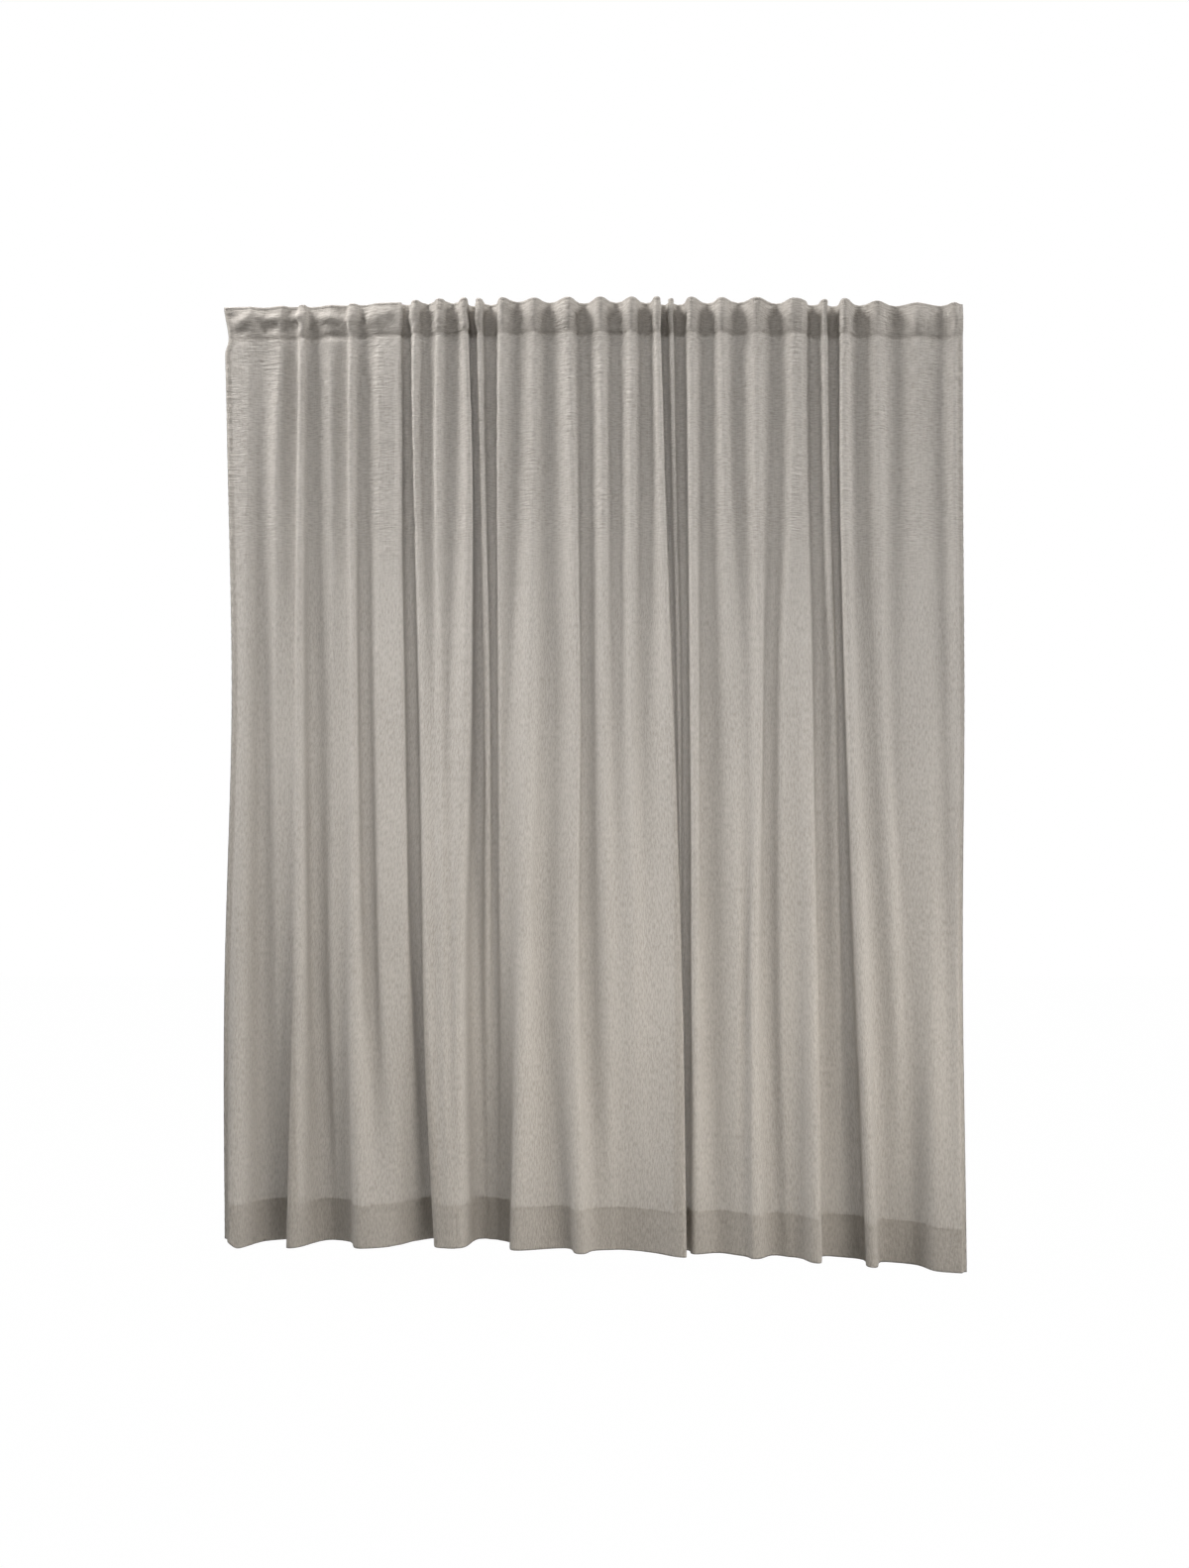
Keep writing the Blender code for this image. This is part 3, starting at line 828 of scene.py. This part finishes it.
def slubs(tree, flat, across, down, low, high, detail=2.0):
    """Noise drawn out along the thread: 0 to 1, with cells of the given width and height."""
    scaled = node(
        tree, "ShaderNodeMapping", _0=flat, _3=(1 / across, 1 / down, 1.0)
    ).outputs["Vector"]
    noise = node(
        tree,
        "ShaderNodeTexNoise",
        {"noise_dimensions": "2D"},
        Vector=scaled,
        Scale=1.0,
        Detail=detail,
        Roughness=0.55,
    ).outputs["Fac"]
    return node(
        tree, "ShaderNodeMapRange", Value=noise, From_Min=low, From_Max=high
    ).outputs["Result"]


def weave(tree, flat):
    """Thread heights in mm and hole shares of a plain weave at its real pitch."""
    place = node(tree, "ShaderNodeSeparateXYZ", _0=flat)
    turn = 2 * math.pi / YARN_PITCH
    warp = maths(tree, "COSINE", maths(tree, "MULTIPLY", place.outputs["X"], turn))
    weft = maths(tree, "COSINE", maths(tree, "MULTIPLY", place.outputs["Y"], turn))
    hole = maths(tree, "MAXIMUM", warp, 0.0)
    hole = maths(tree, "MULTIPLY", hole, maths(tree, "MAXIMUM", weft, 0.0))
    return maths(tree, "ADD", warp, weft), hole


print("yarn pitch in mm:", round(YARN_PITCH / MM, 2))

# %% Weave the voile
SHEER = 0.04  # share of the light that passes straight through one layer
GLOW_THROUGH = 0.13  # share of the rest that is sent on to the other side
VOILE_COLOUR = (0.515, 0.482, 0.436, 1.0)
VOILE_DARK = (0.300, 0.272, 0.236, 1.0)
VOILE_GLOW = (0.480, 0.440, 0.384, 1.0)  # light that comes through the cloth is warmer
VOILE_ROUGHNESS = 0.9
VOILE_GLOSS = 0.18
VOILE_FUZZ = 0.06
VOILE_FUZZ_SPREAD = 0.5
TONE_START = 0.28  # grain up to this much leaves the cloth at its full colour
CRIMPED_TO = 0.55  # level crimps show down to this far below the top edge
CRIMPED_FADE = 0.30


def finish_voile(tree, out):
    """The voile: grain, colour, relief, and how light gets through it."""
    flat = node(tree, "ShaderNodeUVMap", {"uv_map": "flat_cloth"}).outputs["UV"]
    threads, hole = weave(tree, flat)
    place = node(tree, "ShaderNodeSeparateXYZ", _0=flat)
    lower = node(
        tree,
        "ShaderNodeMapRange",
        {"interpolation_type": "SMOOTHSTEP"},
        Value=place.outputs["Y"],
        From_Min=-CRIMPED_TO,
        From_Max=-CRIMPED_TO - CRIMPED_FADE,
    ).outputs["Result"]
    upper = maths(tree, "SUBTRACT", 1.0, lower)
    upright = slubs(tree, flat, 3.2 * MM, 38 * MM, 0.30, 0.70)
    upright_grain = slubs(tree, flat, 3.4 * MM, 14 * MM, 0.30, 0.70, 1.0)
    level_grain = slubs(tree, flat, 18 * MM, 3.4 * MM, 0.30, 0.70, 1.0)
    crimps = slubs(tree, flat, 66 * MM, 7 * MM, 0.36, 0.64, 1.0)
    crimped = slubs(tree, flat, 120 * MM, 260 * MM, 0.42, 0.62, 1.0)
    broad = slubs(tree, flat, 210 * MM, 330 * MM, 0.30, 0.70, 1.0)
    crumple = slubs(tree, flat, 18 * MM, 34 * MM, 0.25, 0.75, 3.0)
    grain = node(
        tree, "ShaderNodeMix", _0=lower, _2=level_grain, _3=upright_grain
    ).outputs[0]
    crimps = maths(tree, "MULTIPLY", crimps, maths(tree, "MULTIPLY", crimped, upper))

    # What makes the colour darker, and by how much.
    tone = maths(tree, "MULTIPLY", grain, 0.60)
    tone = maths(tree, "MULTIPLY_ADD", upright, 0.34, tone)
    tone = maths(tree, "MULTIPLY_ADD", broad, 0.12, tone)
    tone = maths(tree, "MULTIPLY_ADD", threads, -0.05, tone)
    colour = node(
        tree,
        "ShaderNodeMix",
        {"data_type": "RGBA"},
        _0=maths(tree, "SUBTRACT", tone, TONE_START),
        _6=VOILE_COLOUR,
        _7=VOILE_DARK,
    ).outputs[2]

    # What stands up from the cloth, in millimetres.
    height = maths(tree, "MULTIPLY", threads, 0.03)
    height = maths(tree, "MULTIPLY_ADD", grain, 0.34, height)
    height = maths(tree, "MULTIPLY_ADD", upright, 0.14, height)
    height = maths(tree, "MULTIPLY_ADD", crimps, 0.80, height)
    height = maths(tree, "MULTIPLY_ADD", crumple, 1.10, height)
    bump = node(
        tree, "ShaderNodeBump", Strength=1.0, Distance=1 * MM, Height=height
    ).outputs["Normal"]

    facing = node(
        tree,
        "ShaderNodeBsdfPrincipled",
        Base_Color=colour,
        Roughness=VOILE_ROUGHNESS,
        Normal=bump,
    )
    facing.inputs["Specular IOR Level"].default_value = VOILE_GLOSS
    facing.inputs["Sheen Weight"].default_value = VOILE_FUZZ
    facing.inputs["Sheen Roughness"].default_value = VOILE_FUZZ_SPREAD
    through = node(tree, "ShaderNodeBsdfTranslucent", Color=VOILE_GLOW, Normal=bump)
    cloth = node(
        tree,
        "ShaderNodeMixShader",
        _0=GLOW_THROUGH,
        _1=facing.outputs[0],
        _2=through.outputs[0],
    )
    # The open share: most of it in the holes of the weave, less of it where a slub fills them.
    gap = maths(tree, "MULTIPLY_ADD", hole, 5.0 * SHEER, 0.5 * SHEER)
    gap = maths(tree, "MULTIPLY", gap, maths(tree, "MULTIPLY_ADD", upright, -0.9, 1.45))
    clear = node(tree, "ShaderNodeBsdfTransparent")
    both = node(
        tree, "ShaderNodeMixShader", _0=gap, _1=cloth.outputs[0], _2=clear.outputs[0]
    )
    tree.links.new(both.outputs[0], out.inputs["Surface"])


finish_voile(voile_tree, voile_out)
print("voile:", len(voile_tree.nodes), "nodes")

# %% [markdown]
# ## The heading tape
#
# A closely woven tape is sewn behind the top edge. It carries the weight and keeps the heading
# stiff. From the front it only makes the band denser, and from behind it shows as a flat ribbon
# with two drawn cords. It follows the same rows as the cloth, a little further back, and gets a
# real thickness from Solidify.

# %% Lay the tape
TAPE_TOP = 9 * MM
TAPE_BACK = 2.3 * MM  # behind the front of the cloth
TAPE_THICK = 0.6 * MM
CORD_PLACES = (0.30, 0.72)  # shares of the tape's height
CORD_RISE = 0.9 * MM
CORD_REACH = 1.6 * MM
RIB_PITCH = 2.2 * MM
PICK_PITCH = 1.1 * MM
TAPE_COLOUR = (0.50, 0.466, 0.410, 1.0)
TAPE_DARK = (0.43, 0.40, 0.345, 1.0)
TAPE_ROUGHNESS = 0.85
TAPE_GLOSS = 0.2
TAPE_GLOW_THROUGH = 0.40  # share of the light that is sent on to the other side

tape_height = HEADING_HEIGHT - TAPE_TOP
near_cords = [place + np.linspace(-3, 3, 7) * MM / tape_height for place in CORD_PLACES]
tape_shares = np.unique(np.concatenate([np.linspace(0, 1, 12), *near_cords]))


def between_rows(grid, drops, drop):
    """A row of the grid read between two of its rows."""
    lower = int(np.clip(np.searchsorted(drops, drop), 1, len(drops) - 1))
    part = (drop - drops[lower - 1]) / (drops[lower] - drops[lower - 1])
    return grid[lower - 1] * (1 - part) + grid[lower] * part


def line_across(drop, lift):
    """A line across the cloth at one drop, lifted off its front, or behind it if below zero."""
    line = between_rows(front, row_drops, drop)
    return line + between_rows(normal, row_drops, drop) * lift


tape_rows = []
for share in tape_shares:
    rise = sum(
        CORD_RISE * math.exp(-((((share - place) * tape_height) / CORD_REACH) ** 2))
        for place in CORD_PLACES
    )
    tape_rows.append(line_across(TAPE_TOP + share * tape_height, -(TAPE_BACK + rise)))
tape_points = np.array(tape_rows)[:, 1:-1]
tape_cloth, tape_tree, tape_out = new_material("woven_heading_tape")
tape = grid_object("heading_band", tape_points, tape_cloth)
tape_along = np.repeat(along[:1, 1:-1], len(tape_shares), axis=0)
tape_drops = TAPE_TOP + tape_shares * tape_height
tape_down = np.repeat(tape_drops[:, None], tape_along.shape[1], axis=1)
lay_flat_map(tape, tape_along, tape_down)
wall = tape.modifiers.new("thickness", "SOLIDIFY")
wall.thickness = TAPE_THICK
wall.offset = -1.0
print("tape:", len(tape.data.polygons), "faces on one side")

# %% Weave the tape
flat = node(tape_tree, "ShaderNodeUVMap", {"uv_map": "flat_cloth"}).outputs["UV"]
rib = node(tape_tree, "ShaderNodeSeparateXYZ", _0=flat)
rib_turn = maths(tape_tree, "MULTIPLY", rib.outputs["X"], 2 * math.pi / RIB_PITCH)
pick_turn = maths(tape_tree, "MULTIPLY", rib.outputs["Y"], 2 * math.pi / PICK_PITCH)
ribs = maths(tape_tree, "SINE", rib_turn)
picks = maths(tape_tree, "SINE", pick_turn)
worn = slubs(tape_tree, flat, 30 * MM, 12 * MM, 0.3, 0.7)
tape_tone = maths(tape_tree, "MULTIPLY_ADD", ribs, 0.12, maths(tape_tree, "MULTIPLY", worn, 0.35))
tape_paint = node(
    tape_tree,
    "ShaderNodeMix",
    {"data_type": "RGBA"},
    _0=tape_tone,
    _6=TAPE_COLOUR,
    _7=TAPE_DARK,
).outputs[2]
tape_relief = maths(tape_tree, "MULTIPLY", picks, 0.04)
tape_relief = maths(tape_tree, "MULTIPLY_ADD", ribs, 0.10, tape_relief)
tape_bump = node(
    tape_tree, "ShaderNodeBump", Strength=1.0, Distance=1 * MM, Height=tape_relief
).outputs["Normal"]
tape_shade = node(
    tape_tree,
    "ShaderNodeBsdfPrincipled",
    Base_Color=tape_paint,
    Roughness=TAPE_ROUGHNESS,
    Normal=tape_bump,
)
tape_shade.inputs["Specular IOR Level"].default_value = TAPE_GLOSS
tape_through = node(tape_tree, "ShaderNodeBsdfTranslucent", Color=tape_paint)
tape_both = node(
    tape_tree,
    "ShaderNodeMixShader",
    _0=TAPE_GLOW_THROUGH,
    _1=tape_shade.outputs[0],
    _2=tape_through.outputs[0],
)
tape_tree.links.new(tape_both.outputs[0], tape_out.inputs["Surface"])
print("tape:", len(tape_tree.nodes), "nodes")

# %% [markdown]
# ## Sewn lines
#
# Lockstitch runs along the top edge, under the heading, beside both side hems and along the top
# of the bottom hem. Each stitch is the same short, rounded length of thread, repeated along a
# path, which is just what Geometry Nodes are good at. A plain mesh of edges holds the paths. The
# node tree spaces points along them, puts a stitch on each, turns it along the seam and gives
# it a slightly different size, from a fixed seed.

# %% Colour the thread
THREAD_COLOUR = (0.43, 0.40, 0.35, 1.0)
THREAD_DARK = (0.36, 0.33, 0.28, 1.0)
THREAD_TWIST = 900.0  # cells of light and dark in a metre of thread
THREAD_ROUGHNESS = 0.6

thread_paint, thread_tree, thread_out = new_material("sewing_thread")
twist_place = node(thread_tree, "ShaderNodeTexCoord").outputs["Object"]
twist = node(
    thread_tree, "ShaderNodeTexNoise", Vector=twist_place, Scale=THREAD_TWIST, Detail=1.0
).outputs["Fac"]
thread_colour = node(
    thread_tree,
    "ShaderNodeMix",
    {"data_type": "RGBA"},
    _0=twist,
    _6=THREAD_COLOUR,
    _7=THREAD_DARK,
).outputs[2]
thread_shade = node(
    thread_tree,
    "ShaderNodeBsdfPrincipled",
    Base_Color=thread_colour,
    Roughness=THREAD_ROUGHNESS,
)
thread_tree.links.new(thread_shade.outputs[0], thread_out.inputs["Surface"])
print("thread:", len(thread_tree.nodes), "nodes")

# %% Build the stitching tree
STITCH_INPUTS = {
    "Geometry": "Geometry",
    "Pitch": "Float",
    "Stitch length": "Float",
    "Thread": "Float",
    "Seed": "Int",
    "Material": "Material",
}
UNEVEN = (0.85, 1.1)  # the least and the greatest size of a stitch


def stitch_nodes():
    """A tree that sews along the edges of a mesh. Its inputs are the stitch's sizes."""
    tree = bpy.data.node_groups.new("sew_along_edges", "GeometryNodeTree")
    face = tree.interface
    for name, kind in STITCH_INPUTS.items():
        face.new_socket(name, in_out="INPUT", socket_type="NodeSocket" + kind)
    face.new_socket("Geometry", in_out="OUTPUT", socket_type="NodeSocketGeometry")
    given = tree.nodes.new("NodeGroupInput").outputs
    seam = node(tree, "GeometryNodeMeshToCurve", Mesh=given["Geometry"]).outputs["Curve"]
    points = node(
        tree, "GeometryNodeResampleCurve", {"mode": "LENGTH"}, Curve=seam, Length=given["Pitch"]
    )
    ball = node(tree, "GeometryNodeMeshUVSphere", Segments=5, Rings=4, Radius=0.5)
    size = node(
        tree,
        "ShaderNodeCombineXYZ",
        X=given["Stitch length"],
        Y=given["Thread"],
        Z=given["Thread"],
    )
    stitch = node(
        tree,
        "GeometryNodeTransform",
        Geometry=ball.outputs["Mesh"],
        Scale=size.outputs["Vector"],
    )
    tangent = node(tree, "GeometryNodeInputTangent").outputs["Tangent"]
    turned = node(
        tree, "FunctionNodeAlignRotationToVector", {"axis": "X"}, Vector=tangent
    ).outputs["Rotation"]
    uneven = node(
        tree,
        "FunctionNodeRandomValue",
        {"data_type": "FLOAT"},
        _2=UNEVEN[0],
        _3=UNEVEN[1],
        Seed=given["Seed"],
    ).outputs[1]
    sewn = node(
        tree,
        "GeometryNodeInstanceOnPoints",
        Points=points.outputs["Curve"],
        Instance=stitch.outputs["Geometry"],
        Rotation=turned,
        Scale=uneven,
    )
    real = node(tree, "GeometryNodeRealizeInstances", Geometry=sewn.outputs["Instances"])
    painted = node(
        tree,
        "GeometryNodeSetMaterial",
        Geometry=real.outputs["Geometry"],
        Material=given["Material"],
    )
    result = tree.nodes.new("NodeGroupOutput")
    tree.links.new(painted.outputs["Geometry"], result.inputs["Geometry"])
    return tree


def sew(name, paths, tree, sizes):
    """A plain mesh of all stitches along the paths."""
    points = np.concatenate(paths)
    edges = []
    start = 0
    for path in paths:
        edges += [(start + i, start + i + 1) for i in range(len(path) - 1)]
        start += len(path)
    lines = bpy.data.meshes.new(name + "_paths")
    lines.from_pydata(points.tolist(), edges, [])
    seams = bpy.data.objects.new(name + "_paths", lines)
    bpy.context.scene.collection.objects.link(seams)
    work = seams.modifiers.new("sewing", "NODES")
    work.node_group = tree
    for item in tree.interface.items_tree:
        if item.in_out == "INPUT" and item.name in sizes:
            work[item.identifier] = sizes[item.name]
    shown = bpy.context.evaluated_depsgraph_get()
    mesh = bpy.data.meshes.new_from_object(seams.evaluated_get(shown))
    mesh.name = name
    bpy.data.objects.remove(seams, do_unlink=True)
    stitches = bpy.data.objects.new(name, mesh)
    bpy.context.scene.collection.objects.link(stitches)
    mesh.shade_smooth()
    return stitches


def seam_down(column, lift, first, last):
    """A path down the cloth along one column."""
    return front[first:last, column] + normal[first:last, column] * lift


sewing_tree = stitch_nodes()
print("stitching tree:", len(sewing_tree.nodes), "nodes")

# %% Sew the seams
STITCH_PITCH = 4.0 * MM
STITCH_LENGTH = 3.1 * MM
THREAD = 0.55 * MM
SEAM_LIFT = 0.25 * MM
sewing_sizes = {
    "Pitch": STITCH_PITCH,
    "Stitch length": STITCH_LENGTH,
    "Thread": THREAD,
    "Seed": 4,
    "Material": thread_paint,
}
left_seam, right_seam = SIDE_HEM_COLUMNS - 1, last_column - SIDE_HEM_COLUMNS + 1
front_paths = [
    line_across(TAPE_TOP + 2 * MM, SEAM_LIFT),
    line_across(HEADING_HEIGHT - 2 * MM, SEAM_LIFT),
    line_across(DROP - HEM_TOP + 2 * MM, SEAM_LIFT),
    seam_down(left_seam, SEAM_LIFT, 1, last_row),
    seam_down(right_seam, SEAM_LIFT, 1, last_row),
]
stitches = sew("seam_stitches", front_paths, sewing_tree, sewing_sizes)
print("stitches:", len(stitches.data.polygons), "faces")

# %% [markdown]
# ## Hand the pieces to the frame
#
# The thin cloth and the tape stand in for the two solids, which stay hidden for collision. All
# pieces ride on the one body of the curtain.

# %% Ride and replace
pieces = (curtain, tape, stitches)
for piece in pieces:
    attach(piece, "root")
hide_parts("curtain_panel")
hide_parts("heading_tape")
